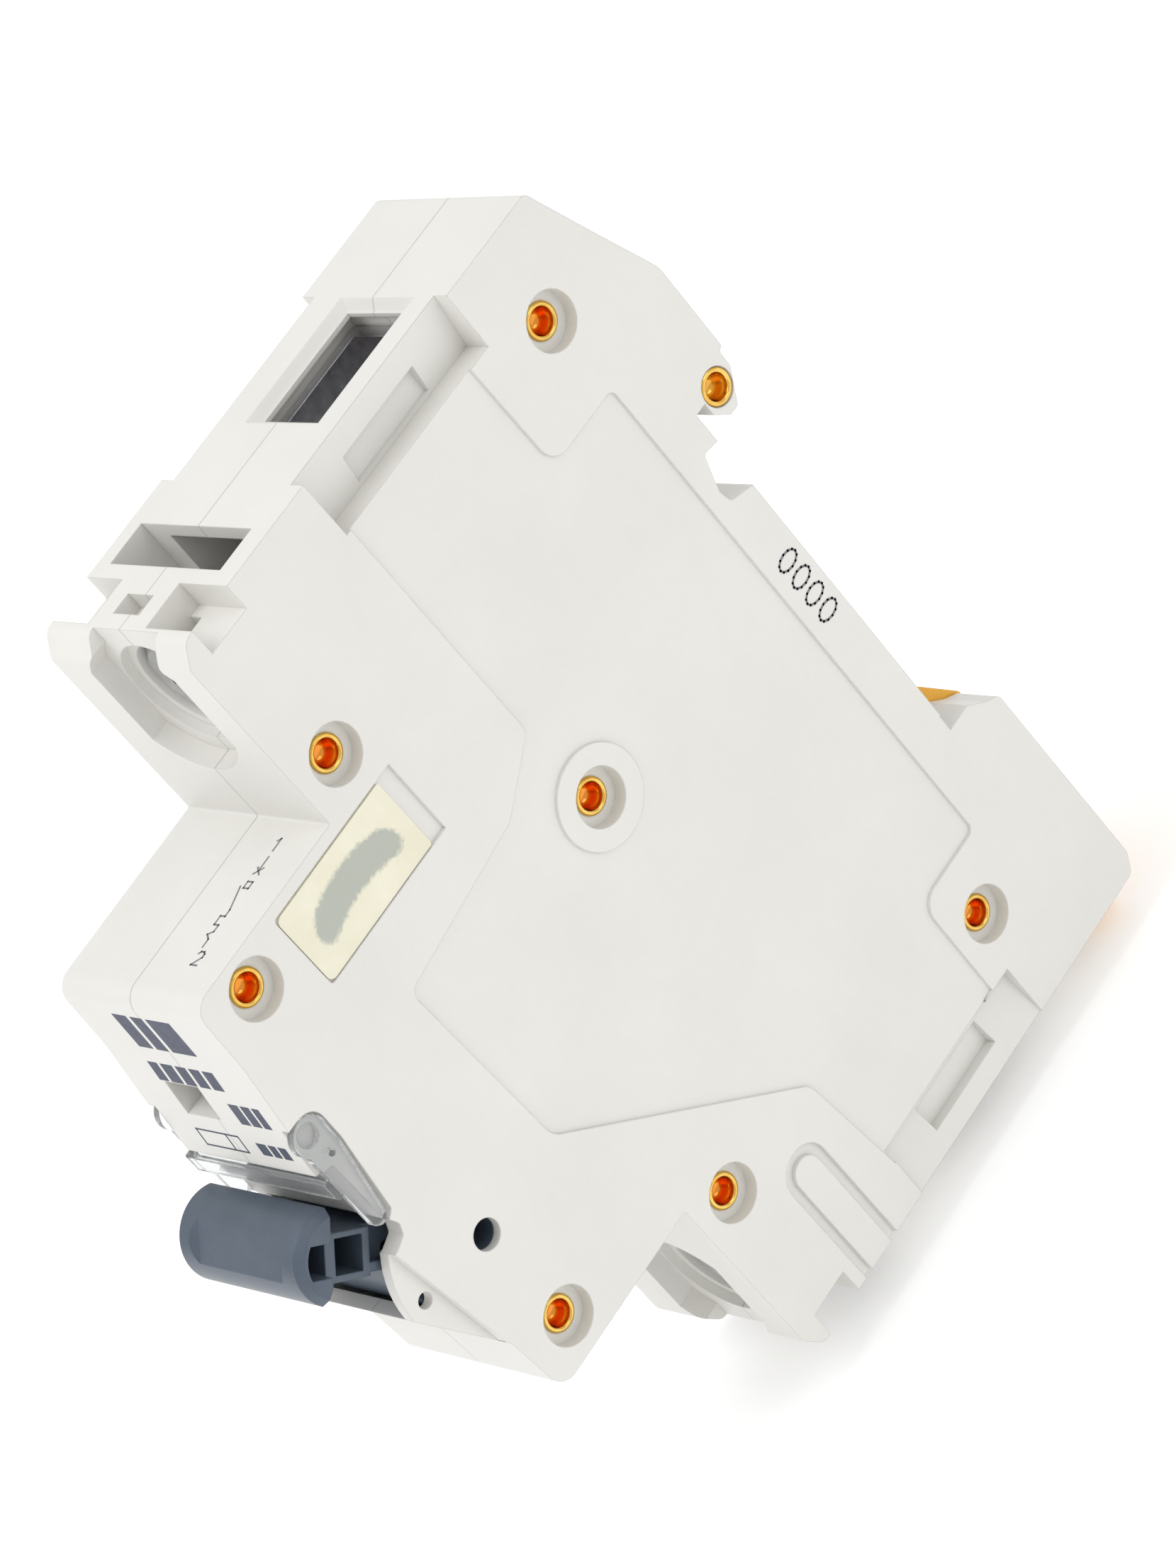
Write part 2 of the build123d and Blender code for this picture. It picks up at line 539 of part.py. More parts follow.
def trip_lever():
    """Rocker struck by the magnet's pin at its top and by the bimetal at its middle."""
    y, z = TRIP_Y, TRIP_Z
    rear = -38.6
    arm = area((y - 1.6, z), (y - 1.0, z + 9), (y + 2.0, COIL_Z - 0.6, 3), (y + 3.2, COIL_Z + 1.9, 0.4),
               (rear, COIL_Z + 1.9), (rear, COIL_Z - 2.1), (y + 3.8, COIL_Z - 2.1, 0.5), (y + 1.8, -5.8, 0.5),
               (rear, -5.8), (rear, -7.6), (y + 1.6, -7.6, 0.5), (y + 1.8, z))
    lever = slab(arm + disc(y, z, 2.2), TRIP_X0, TRIP_X1)
    lever += block(-1.4, TRIP_X0, rear - 1.6, rear, COIL_Z - 2.1, COIL_Z + 1.9)
    return lever - bar_x(y, z, PIN_R + RUN, 0, INNER)


def trip_lever_pin():
    return bar_x(TRIP_Y, TRIP_Z, PIN_R, TRIP_X0 - 0.8, INNER + PIN_SOCKET)


BIMETAL_Y = -37.0
BIMETAL_X0, BIMETAL_X1 = 3.2, 5.8
BAR_FOOT_Z = TERMINAL_Z - 9.4       # inner face of each bar's foot


def bimetal_strip():
    return block(BIMETAL_X0, BIMETAL_X1, BIMETAL_Y, BIMETAL_Y + 0.9, -BAR_FOOT_Z + 1.2, -5.5)


def flexible_braid():
    """Short copper braid from the carrier's side to the bimetal's side."""
    path = Plane.YZ.offset(2.4) * FilletPolyline((-31.6, -12.6), (-29.2, -17.8), (-32.6, -19.6),
                                                  (-36.5, -18.0), radius=1.2)
    braid = sweep(Plane(path @ 0, z_dir=path % 0) * Circle(0.55), path=path)
    braid += bar_x(-31.6, -12.6, 0.55, CARRIER_HALF, 2.4) + bar_x(-36.5, -18.0, 0.44, 2.4, BIMETAL_X0)
    return braid


def calibration_screw():
    """Set screw behind the bimetal, in the lower bar's upturned tab."""
    z = -BAR_FOOT_Z + 2.2
    screw = bar_y(4.5, z, 0.8, BIMETAL_Y + 0.95, BIMETAL_Y + 4.0)
    screw += bar_y(4.5, z, 1.3, BIMETAL_Y + 4.0, BIMETAL_Y + 5.2)
    return screw - block(3, 6, BIMETAL_Y + 4.8, BIMETAL_Y + 6, z - 0.2, z + 0.2)


# ---- magnet ----------------------------------------------------------------------------------
FORMER_FRONT = -YOKE_FRONT + YOKE_SHEET + 0.2
FORMER_REAR = -YOKE_REAR - YOKE_SHEET - 0.2
CORE_REAR = FORMER_FRONT + 4.4


def yoke():
    """Steel frame round the coil, with a hole for the striker and one for the plunger's end."""
    room = YOKE_TALL - YOKE_SHEET
    frame = oblong(-YOKE_FRONT, -YOKE_REAR, COIL_Z - YOKE_TALL, COIL_Z + YOKE_TALL)
    frame -= oblong(-YOKE_FRONT + YOKE_SHEET, -YOKE_REAR - YOKE_SHEET, COIL_Z - room, COIL_Z + room)
    body = slab(frame, -YOKE_HALF, YOKE_HALF)
    return body - bar_y(0, COIL_Z, STRIKER_R + 0.3, -40, -30) - bar_y(0, COIL_Z, 1.5, -20, -10)


def coil_former():
    body = bar_y(0, COIL_Z, FORMER_R, FORMER_FRONT, FORMER_REAR)
    body += bar_y(0, COIL_Z, COIL_R + 0.1, FORMER_FRONT, FORMER_FRONT + 1.0)
    body += bar_y(0, COIL_Z, COIL_R + 0.1, FORMER_REAR - 1.0, FORMER_REAR)
    return body - bar_y(0, COIL_Z, FORMER_BORE, -40, -10)


def magnet_coil():
    """Heavy copper winding with both ends brought out past the sides of the yoke."""
    wire = 1.2
    turns = int((FORMER_REAR - FORMER_FRONT - 2.2) / wire)
    start = FORMER_FRONT + 1.1
    end = start + turns * wire
    coil = bar_y(0, COIL_Z, COIL_R - 0.35, start, end)
    for turn in range(turns):
        coil += bar_y(0, COIL_Z, COIL_R, start + turn * wire + 0.2, start + (turn + 1) * wire - 0.2)
    coil -= bar_y(0, COIL_Z, FORMER_R + 0.02, -40, -10)
    out = YOKE_HALF + 0.85
    coil += bar_x(start + 0.8, COIL_Z, 0.6, FORMER_R + 0.8, out)
    coil += Pos(out, start + 0.8, COIL_Z) * Sphere(0.6)
    coil += bar_z(out, start + 0.8, 0.6, COIL_Z, BAR_FOOT_Z)
    strip = STRIP_Y + 0.5
    coil += bar_x(strip, COIL_Z, 0.5, -out, -FORMER_R - 0.8)
    coil += Pos(-out, strip, COIL_Z) * Sphere(0.5)
    coil += bar_z(-out, strip, 0.5, 9.5, COIL_Z)
    coil += Pos(-out, strip, 9.5) * Sphere(0.5)
    return coil + bar_x(strip, 9.5, 0.5, -out, -2.5)


def magnet_core():
    body = bar_y(0, COIL_Z, PLUNGER_R, FORMER_FRONT, CORE_REAR)
    body -= bar_y(0, COIL_Z, STRIKER_R + 0.15, -40, -20)
    return body - bar_y(0, COIL_Z, 1.9, CORE_REAR - 2, CORE_REAR)


def plunger():
    """Sliding iron plunger with the striker pin in front of it."""
    body = bar_y(0, COIL_Z, PLUNGER_R, CORE_REAR + 1.5, FORMER_REAR - 1.0)
    return body + bar_y(0, COIL_Z, STRIKER_R, -YOKE_FRONT - 0.8, CORE_REAR + 1.5)


def plunger_spring():
    y0, y1 = CORE_REAR - 2.0, CORE_REAR + 1.5
    return bar_y(0, COIL_Z, 1.7, y0, y1) - bar_y(0, COIL_Z, STRIKER_R + 0.3, y0 - 1, y1 + 1)


# ---- arc chute -------------------------------------------------------------------------------
def arc_chute_plates():
    """Stack of steel plates with a V notch facing the contacts."""
    side = INNER - 0.9
    plate = oblong(-side, side, -CHUTE_FRONT, -CHUTE_REAR)
    plate -= area((-4.2, -CHUTE_FRONT - 1), (4.2, -CHUTE_FRONT - 1), (3.6, -CHUTE_FRONT),
                  (0, -CHUTE_FRONT + 7, 0.8), (-3.6, -CHUTE_FRONT))
    plates = []
    for index in range(PLATE_COUNT):
        z = PLATE_TOP - PLATE - index * PLATE_PITCH
        plates.append(Pos(0, 0, z) * extrude(plate, PLATE))
    return Compound(children=plates)


def arc_chute_sides():
    """Fibre cards that hold the plates by their edges against the side walls."""
    low = PLATE_TOP - PLATE_COUNT * PLATE_PITCH
    cards = [block(*sorted((side * (INNER - 0.9), side * INNER)), -CHUTE_FRONT - 0.2, -CHUTE_REAR + 0.2,
                   low, PLATE_TOP + 0.6) for side in (1, -1)]
    return Compound(children=cards)


def arc_runner():
    """Steel strip under the chute that leads the arc away from the moving contact."""
    strip = area((-32.0, -21.6), (-7.0, -21.6, 0.3), (-7.0, -20.6, 0.3), (-26.5, -20.6, 1),
                 (-28.0, -19.4, 0.3), (-28.9, -19.9, 0.3), (-27.8, -20.9, 0.3), (-32.0, -20.9))
    return slab(strip, -3.0, 3.0)


# ---- terminals -------------------------------------------------------------------------------
def terminal_screw():
    """Combination slot and cross head screw."""
    x, z = TERMINAL_X, TERMINAL_Z
    head_front = -CHAMBER_FRONT - 4.6
    head_back = head_front + SCREW_HEAD
    head = chamfer(bar_y(x, z, SCREW_HEAD_R, head_front, head_back).edges().sort_by(Axis.Y)[0], 0.4)
    screw = head + bar_y(x, z, SCREW_R, head_back, -BAR_FRONT - 0.4)
    screw -= block(x - 0.5, x + 0.5, head_front - 1, head_front + 1.3, z - 5, z + 5)
    return screw - block(x - 2.0, x + 2.0, head_front - 1, head_front + 1.6, z - 0.55, z + 0.55)


def clamp_cage():
    """Lift cage: the screw draws its back wall up to the bar and nips the cable between them."""
    x, z = TERMINAL_X, TERMINAL_Z
    low, high = z - CAGE_TALL / 2, z + CAGE_TALL / 2
    back = -BAR_FRONT + BAR + 11.2
    cage = block(x - CAGE_HALF, x + CAGE_HALF, -NUT_FRONT, back, low, high)
    inner = CAGE_HALF - CAGE_WALL
    cage -= block(x - inner, x + inner, -NUT_FRONT + NUT_WALL, back - 1.0, low - 1, high + 1)
    return cage - bar_y(x, z, SCREW_R + RUN, -30, -20)


def terminal_bar():
    """Copper bar: upright leg in the chamber, foot inside the case."""
    x = TERMINAL_X
    leg = block(x - BAR_HALF, x + BAR_HALF, -BAR_FRONT, -BAR_FRONT + BAR, BAR_FOOT_Z, TERMINAL_Z + 3.5)
    return leg + block(x - BAR_HALF, YOKE_HALF + 1.5, -BAR_FRONT - 13.4, -BAR_FRONT,
                       BAR_FOOT_Z, BAR_FOOT_Z + BAR)


def terminal_bar_lower():
    """The lower bar also carries the bimetal's set screw in an upturned tab."""
    tab = block(3.0, YOKE_HALF + 1.5, BIMETAL_Y + 1.0, BIMETAL_Y + 1.8, -BAR_FOOT_Z, -BAR_FOOT_Z + 3.4)
    return below(terminal_bar()) + tab - bar_y(4.5, -BAR_FOOT_Z + 2.2, 0.8, -40, -30)


# ---- marker cover, film and rail clip --------------------------------------------------------
def marker_cover():
    """Clear cover: two side arms on pivot pins, joined by a front plate that clears the grip."""
    arm = area((HUB_Y - 1.24, COVER_HUB_Z - 1.0), (HUB_Y - 1.24, -0.35, 0.3), (HUB_Y - 0.74, -0.8, 0.3),
               (HUB_Y - 0.34, -0.85, 0.3), (HUB_Y + 0.16, -0.4, 0.5), (HUB_Y + 1.46, COVER_HUB_Z - 2.0, 2),
               (HUB_Y + 1.5, COVER_HUB_Z - 0.3))
    arm += disc(HUB_Y, COVER_HUB_Z, COVER_HUB_R)
    arm -= disc(HUB_Y + 0.3, COVER_HUB_Z - 2.2, 0.3)
    side = HALF - COVER_SHEET
    cover = slab(arm, side, HALF) + slab(arm, -HALF, -side)
    cover += bar_x(HUB_Y, COVER_HUB_Z, COVER_PIN_R, side - 0.7, side)
    cover += bar_x(HUB_Y, COVER_HUB_Z, COVER_PIN_R, -side, -side + 0.7)
    high, low = COVER_HUB_Z - 3.3, COVER_HUB_Z - 5.15
    plate = area((HUB_Y - 1.84, high, 0.2), (HUB_Y - 1.84, low, 0.2), (HUB_Y - 1.2, low, 0.2),
                 (HUB_Y - 1.2, high, 0.1))
    return cover + slab(plate, -HALF, HALF)


def side_film():
    return slab(area((-51.9, 14.6, 0.6), (-39.0, 14.6, 0.2), (-39.0, 21.3, 0.2), (-51.9, 21.3, 0.6)),
                HALF - 0.3, HALF - 0.05)


def rail_clip():
    """Spring latch for the rail: hooked tongue, guide ribs, spring slot and driver slot."""
    end = -TOP - CLIP_END
    side = slab(area((1.25, -HOOK + 1.4, 0.2), (2.8, -HOOK + 1.4, 0.4), (5.4, -HOOK - 2.1, 0.8),
                     (5.1, -24.0, 3), (4.7, end, 0.8), (0.6, end, 0.6), (0.6, -19.4, 0.5), (1.25, -18.4, 0.5)),
                -CLIP_HALF, CLIP_HALF)
    front_view = area((-CLIP_HALF, end, 1.5), (CLIP_HALF, end, 1.5), (CLIP_HALF, -10), (-CLIP_HALF, -10))
    clip = side & extrude(Plane.XZ.offset(-10) * front_view, 20)
    rib = CLIP_HALF + CLIP_RIB
    clip += block(-rib, rib, 1.6, 3.2, -38.0, -28.0)
    clip -= block(-CLIP_SLOT_HALF, CLIP_SLOT_HALF, 0, 8, -35.4, -24.0)
    return clip - block(-2.2, 2.2, 0, 8, end + 1.3, end + 2.5)


def rail_clip_spring():
    return bar_z(0, 2.4, CLIP_SPRING_R, -34.0, -24.0) - bar_z(0, 2.4, CLIP_SPRING_R - 0.5, -35.0, -23.0)


# ---- write every piece -----------------------------------------------------------------------
def main():
    os.makedirs("parts", exist_ok=True)
    right, left = case_halves()
    screw, cage = terminal_screw(), clamp_cage()
    pieces = {
        "case_right": right, "case_left": left, "rivets": rivets(), "toggle_handle": toggle_handle(),
        "handle_spring": handle_spring(), "link_wire": link_wire(), "indicator_flag": indicator_flag(),
        "contact_arm": contact_arm(), "contact_carrier": contact_carrier(), "carrier_pin": carrier_pin(),
        "moving_contact_pad": moving_contact_pad(), "fixed_contact_pad": fixed_contact_pad(),
        "fixed_contact_strip": fixed_contact_strip(), "contact_spring": contact_spring(),
        "trip_lever": trip_lever(), "trip_lever_pin": trip_lever_pin(), "bimetal_strip": bimetal_strip(),
        "flexible_braid": flexible_braid(), "calibration_screw": calibration_screw(), "yoke": yoke(),
        "coil_former": coil_former(), "magnet_coil": magnet_coil(), "magnet_core": magnet_core(),
        "plunger": plunger(), "plunger_spring": plunger_spring(), "arc_chute_plates": arc_chute_plates(),
        "arc_chute_sides": arc_chute_sides(), "arc_runner": arc_runner(),
        "terminal_screw_upper": screw, "terminal_screw_lower": below(screw),
        "clamp_cage_upper": cage, "clamp_cage_lower": below(cage),
        "terminal_bar_upper": terminal_bar(), "terminal_bar_lower": terminal_bar_lower(),
        "marker_cover": marker_cover(), "side_film": side_film(),
        "rail_clip": rail_clip(), "rail_clip_spring": rail_clip_spring(),
    }
    for node, solid in pieces.items():
        export_step(solid, f"parts/{node}.step")


main()
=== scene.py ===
"""Single-pole circuit breaker, one module wide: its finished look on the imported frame.

Everything is in metres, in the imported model's frame: X across the width, +Y towards the rail, +Z up.
"""

import bpy
import numpy as np
from mathutils import Matrix, Vector


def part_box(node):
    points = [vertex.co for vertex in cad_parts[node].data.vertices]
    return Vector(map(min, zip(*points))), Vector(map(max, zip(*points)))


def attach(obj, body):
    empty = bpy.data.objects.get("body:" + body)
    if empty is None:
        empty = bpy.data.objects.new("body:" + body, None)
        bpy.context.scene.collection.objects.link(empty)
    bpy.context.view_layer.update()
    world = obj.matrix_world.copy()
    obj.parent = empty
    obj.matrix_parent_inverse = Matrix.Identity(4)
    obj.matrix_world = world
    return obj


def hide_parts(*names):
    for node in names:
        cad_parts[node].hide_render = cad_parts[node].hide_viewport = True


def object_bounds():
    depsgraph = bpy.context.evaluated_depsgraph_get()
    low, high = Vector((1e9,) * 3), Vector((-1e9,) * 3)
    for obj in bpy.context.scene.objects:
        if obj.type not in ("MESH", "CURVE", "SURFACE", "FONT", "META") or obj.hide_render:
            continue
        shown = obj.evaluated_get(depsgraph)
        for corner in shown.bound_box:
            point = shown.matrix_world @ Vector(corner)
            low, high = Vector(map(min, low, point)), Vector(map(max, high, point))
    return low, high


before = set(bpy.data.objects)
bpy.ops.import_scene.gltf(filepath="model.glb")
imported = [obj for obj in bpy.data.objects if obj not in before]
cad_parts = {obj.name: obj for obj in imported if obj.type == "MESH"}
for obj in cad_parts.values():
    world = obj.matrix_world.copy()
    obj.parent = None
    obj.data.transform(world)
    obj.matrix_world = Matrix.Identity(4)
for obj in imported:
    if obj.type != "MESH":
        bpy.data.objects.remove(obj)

cad_low, cad_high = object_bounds()
MM = 0.001


# ---- viewing place, floor and light ----------------------------------------------------------
# The breaker stands on its latch on a plain white table, under a bright white tent with one
# large soft lamp above and to the front and a weaker one beside it, so its shadows are faint.
CAMERA_PLACE = (0.3123, -0.1702, 0.20494)
CAMERA_RIGHT = Vector((0.6244, 0.5382, -0.5661))
CAMERA_UP = Vector((-0.0651, 0.7581, 0.6489))
LENS, SENSOR = 122.06, 36.0             # millimetres
NEAREST, FARTHEST = 0.01, 20.0
TABLE_REACH = 3.0                       # from the middle to each edge
TABLE_GLOW = 0.22
TENT_LIGHT = 0.82
WHITE = (1.0, 1.0, 1.0, 1.0)


def make_camera():
    """Camera looking down on the right side and the top, rolled so the device leans to the left."""
    back = CAMERA_RIGHT.cross(CAMERA_UP)
    data = bpy.data.cameras.new("camera")
    data.lens, data.sensor_width, data.sensor_fit = LENS, SENSOR, "AUTO"
    data.clip_start, data.clip_end = NEAREST, FARTHEST
    camera = bpy.data.objects.new("camera", data)
    camera.matrix_world = Matrix.Translation(CAMERA_PLACE) @ Matrix(
        (CAMERA_RIGHT, CAMERA_UP, back)).transposed().to_4x4()
    bpy.context.scene.collection.objects.link(camera)
    bpy.context.scene.camera = camera


def add_piece(name, points, faces, material, body, slot, smooth=True):
    """A mesh piece from arrays of points (metres) and faces, riding on a body, with a finish."""
    mesh = bpy.data.meshes.new(name)
    mesh.from_pydata(np.asarray(points, float).tolist(), [], [list(f) for f in faces])
    mesh.update()
    mesh.polygons.foreach_set("use_smooth", np.full(len(mesh.polygons), smooth))
    mesh.materials.append(material)
    piece = bpy.data.objects.new(name, mesh)
    bpy.context.scene.collection.objects.link(piece)
    if body:
        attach(piece, body)
    return piece


def shader(name):
    """An empty node material: its tree, its surface shader and a wire helper."""
    material = bpy.data.materials.new(name)
    material.use_nodes = True
    tree = material.node_tree
    surface = tree.nodes["Principled BSDF"]

    def node(kind, **inputs):
        made = tree.nodes.new(kind)
        for key, value in inputs.items():
            socket = made.inputs[key.replace("_", " ")]
            if isinstance(value, bpy.types.NodeSocket):
                tree.links.new(value, socket)
            else:
                socket.default_value = value
        return made

    return material, surface, node, tree.links.new


def rgb(value):
    return (*value, 1.0)


def speckle(name, light, dark, patch, rough, grain, relief, rough_spread=0.08, metallic=0.0,
            round_edge=0.0, contrast=(0.35, 0.7)):
    """Finish with cloudy colour (patch, per metre), uneven gloss and a fine grain (per metre).

    The grain's height is relief metres; round_edge softens the light on sharp edges.
    """
    material, surface, node, link = shader(name)
    place = node("ShaderNodeTexCoord").outputs["Object"]
    cloud = node("ShaderNodeTexNoise", Vector=place, Scale=patch, Detail=4.0, Roughness=0.6)
    ramp = node("ShaderNodeValToRGB", Fac=cloud.outputs["Fac"])
    ramp.color_ramp.elements[0].position, ramp.color_ramp.elements[1].position = contrast
    ramp.color_ramp.elements[0].color, ramp.color_ramp.elements[1].color = rgb(dark), rgb(light)
    link(ramp.outputs["Color"], surface.inputs["Base Color"])
    gloss = node("ShaderNodeMapRange", Value=cloud.outputs["Fac"], To_Min=rough - rough_spread,
                 To_Max=rough + rough_spread)
    link(gloss.outputs["Result"], surface.inputs["Roughness"])
    fine = node("ShaderNodeTexNoise", Vector=place, Scale=grain, Detail=3.0, Roughness=0.55)
    bump = node("ShaderNodeBump", Height=fine.outputs["Fac"], Strength=1.0, Distance=relief)
    if round_edge:
        soft = node("ShaderNodeBevel", Radius=round_edge)
        soft.samples = 4
        link(soft.outputs["Normal"], bump.inputs["Normal"])
    link(bump.outputs["Normal"], surface.inputs["Normal"])
    surface.inputs["Metallic"].default_value = metallic
    return material, surface, node, link, ramp, place


def lamp(name, place, size, power):
    """Square soft lamp at place, aimed at the middle of the device."""
    data = bpy.data.lights.new(name, "AREA")
    data.size, data.energy = size, power
    light = bpy.data.objects.new(name, data)
    aim = (cad_low + cad_high) / 2 - Vector(place)
    light.matrix_world = Matrix.Translation(place) @ aim.to_track_quat("-Z", "Y").to_matrix().to_4x4()
    bpy.context.scene.collection.objects.link(light)


make_camera()

table = speckle("white_table", (0.94, 0.94, 0.94), (0.92, 0.92, 0.92), 30.0, 0.75, 900.0, 0.00001)[0]
table_surface = table.node_tree.nodes["Principled BSDF"]
table_surface.inputs["Emission Color"].default_value = WHITE
table_surface.inputs["Emission Strength"].default_value = TABLE_GLOW
square = np.array([(-1, -1), (1, -1), (1, 1), (-1, 1)]) * TABLE_REACH
corners = np.column_stack([square, np.full(4, cad_low.z)])
floor = add_piece("floor", corners, [(0, 1, 2, 3)], table, None, None)

world = bpy.data.worlds.new("white_tent")
bpy.context.scene.world = world
world.use_nodes = True
tent = world.node_tree.nodes["Background"]
tent.inputs["Color"].default_value = WHITE
tent.inputs["Strength"].default_value = TENT_LIGHT

lamp("lamp_above", (-0.05, -0.25, 0.50), 0.35, 1.1)
lamp("lamp_side", (0.45, 0.15, 0.35), 0.30, 0.35)
bpy.context.scene.view_settings.view_transform = "Standard"


# ---- case ------------------------------------------------------------------------------------
# Two shells of warm white thermoset, moulded with a fine eroded texture and parted on the
# middle plane, where a hairline shows. The walls are satin, with a faintly cloudy tone.
SHELL_LIGHT, SHELL_DARK, SEAM_GREY = (0.745, 0.735, 0.700), (0.715, 0.704, 0.668), (0.42, 0.41, 0.39)
SEAM_HALF, SEAM_FADE, SEAM_DEPTH = 0.00003, 0.00007, 0.55
UNDER_SKIN = 0.0006                     # how far light spreads in the plastic


def moulded_case():
    """Cloudy warm white with a fine grain, and a thin grey line where X is nearly 0."""
    material, surface, node, link, ramp, place = speckle(
        "moulded_case", SHELL_LIGHT, SHELL_DARK, 90.0, 0.42, 5200.0, 0.000012, round_edge=0.00016)
    side = node("ShaderNodeSeparateXYZ", Vector=place).outputs["X"]
    away = node("ShaderNodeMath", Value=side)
    away.operation = "ABSOLUTE"
    seam = node("ShaderNodeMapRange", Value=away.outputs[0], From_Min=SEAM_HALF, From_Max=SEAM_FADE,
                To_Min=SEAM_DEPTH, To_Max=0.0)
    mix = node("ShaderNodeMixRGB", Fac=seam.outputs["Result"], Color1=ramp.outputs["Color"],
               Color2=rgb(SEAM_GREY))
    link(mix.outputs["Color"], surface.inputs["Base Color"])
    surface.inputs["Subsurface Weight"].default_value = 0.06
    surface.inputs["Subsurface Radius"].default_value = (1.0, 0.8, 0.6)
    surface.inputs["Subsurface Scale"].default_value = UNDER_SKIN
    return material


def finish(material, *names):
    """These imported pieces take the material."""
    for name in names:
        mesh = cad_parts[name].data
        mesh.materials.clear()
        mesh.materials.append(material)


finish(moulded_case(), "case_right", "case_left")


# ---- rivets ----------------------------------------------------------------------------------
# Eight semi-tubular steel rivets, yellow plated, pushed through both shells and rolled over at
# each end into a bright rounded rim. Their short blind bores carry a painted orange-brown
# reflection, standing in for the gold's light bouncing inside them.
HALF_WIDTH = round(cad_high.x / MM, 3)
PLATING_LIGHT, PLATING_DARK, BORE_REFLECTION_BROWN = (0.86, 0.60, 0.17), (0.74, 0.44, 0.09), (0.80, 0.29, 0.05)
BORE_FROM, BORE_TO = 0.0068, 0.0074     # metres from mid width: all painted reflection brown, all yellow
COUNTERBORE = 1.3                       # depth of the hole a sunk rivet's head sits in
RIM_HIGH, RIM_HALF, RIM_MIDDLE = 0.25, 0.235, 1.29
SUNK_RIVETS = [(-4.4, 32.45), (-39.9, 25.5), (-56.4, 19.4), (-26.5, 5.1), (-8.0, -30.65), (-39.9, -25.3),
               (-56.3, -19.0)]
FLUSH_RIVETS = [(2.9, 17.75)]


def rivet_metal():
    """Polished yellow plating at the rims; down the bore (towards X = 0) a painted reflection, orange-brown.
    """
    material, surface, node, link, ramp, place = speckle(
        "rivet_metal", PLATING_LIGHT, PLATING_DARK, 700.0, 0.17, 4000.0, 0.000004,
        rough_spread=0.06, metallic=1.0)
    side = node("ShaderNodeSeparateXYZ", Vector=place).outputs["X"]
    away = node("ShaderNodeMath", Value=side)
    away.operation = "ABSOLUTE"
    # painted reflection: down the bore the colour turns orange-brown, standing in for light bounced inside
    # the gold
    bore_reflection = node("ShaderNodeMapRange", Value=away.outputs[0], From_Min=BORE_FROM, From_Max=BORE_TO,
                To_Min=1.0, To_Max=0.0)
    mix = node("ShaderNodeMixRGB", Fac=bore_reflection.outputs["Result"], Color1=ramp.outputs["Color"],
               Color2=rgb(BORE_REFLECTION_BROWN))
    link(mix.outputs["Color"], surface.inputs["Base Color"])
    return material


def turned(profile, centres, sides=40):
    """Rows of (radius, along X) carried round X at each centre: the points turn through 2 pi.

    The first and last rows are the poles on the axis, where fans close the shell.
    """
    profile = np.asarray(profile, float)
    rows = len(profile) - 2
    angle = np.linspace(0, 2 * np.pi, sides, endpoint=False)
    ring = np.stack([np.broadcast_to(profile[1:-1, 1:2], (rows, sides)), profile[1:-1, :1] * np.cos(angle),
                     profile[1:-1, :1] * np.sin(angle)], -1).reshape(-1, 3)
    ring = np.concatenate([ring, [(profile[0, 1], 0, 0), (profile[-1, 1], 0, 0)]])
    i, j = np.meshgrid(np.arange(rows - 1), np.arange(sides), indexing="ij")
    side = (j + 1) % sides
    quads = np.stack([i * sides + j, (i + 1) * sides + j, (i + 1) * sides + side, i * sides + side],
                     -1).reshape(-1, 4).tolist()
    base = (rows - 1) * sides
    quads += [(rows * sides, k, (k + 1) % sides) for k in range(sides)]
    quads += [(rows * sides + 1, base + (k + 1) % sides, base + k) for k in range(sides)]
    points = np.concatenate([ring + np.array([0, y, z]) for y, z in centres])
    faces = [tuple(v + k * len(ring) for v in quad) for k in range(len(centres)) for quad in quads]
    return points * MM, faces


def rolled_rivet(end):
    """Profile from the dished floor up the bore, round the rolled rim to the shank, and the same at -end."""
    t = np.linspace(0, np.pi, 9)
    rim = np.stack([RIM_MIDDLE - RIM_HALF * np.cos(t), end - RIM_HIGH + RIM_HIGH * np.sin(t)], -1)
    half = np.concatenate([[(0, end - 1.75), (0.45, end - 1.72), (0.78, end - 1.6), (0.93, end - 1.35),
                            (0.95, end - 0.9), (0.965, end - 0.55)], rim,
                           [(1.40, end - 0.25), (1.12, end - 0.30), (1.10, end - 0.6)]])
    return np.concatenate([half, (half * [1, -1])[::-1]])


def join(*shells):
    """Several (points, faces) as one."""
    points, faces, count = [], [], 0
    for p, f in shells:
        points.append(p)
        faces += [tuple(int(v) + count for v in face) for face in f]
        count += len(p)
    return np.concatenate(points), faces


sunk = turned(rolled_rivet(HALF_WIDTH - COUNTERBORE + RIM_HIGH), SUNK_RIVETS)
flush = turned(rolled_rivet(HALF_WIDTH), FLUSH_RIVETS)
rivets = add_piece("rolled_rivets", *join(sunk, flush), rivet_metal(), "case", "rivet_metal")
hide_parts("rivets")


# ---- handle ----------------------------------------------------------------------------------
# Rocking handle of slate blue thermoset, moulded in one with its drum and hollow trunnions.
# The grip is satin, with its sharp edges rounded in the shading.
slate = speckle("slate_handle", (0.082, 0.108, 0.145), (0.066, 0.088, 0.120), 260.0, 0.36, 4200.0,
                0.000008, round_edge=0.0002)[0]
finish(slate, "toggle_handle")


# ---- springs ---------------------------------------------------------------------------------
# Drawn steel wire, coiled cold. The handle's spring is a torsion coil round the right trunnion;
# the contact, plunger and latch springs are compression coils with closed ends.
def drawn_wire(name, light, dark, rough=0.3):
    """Bright metal with fine cross streaks, a little darker in patches."""
    return speckle(name, light, dark, 900.0, rough, 9000.0, 0.000003, metallic=1.0)[0]


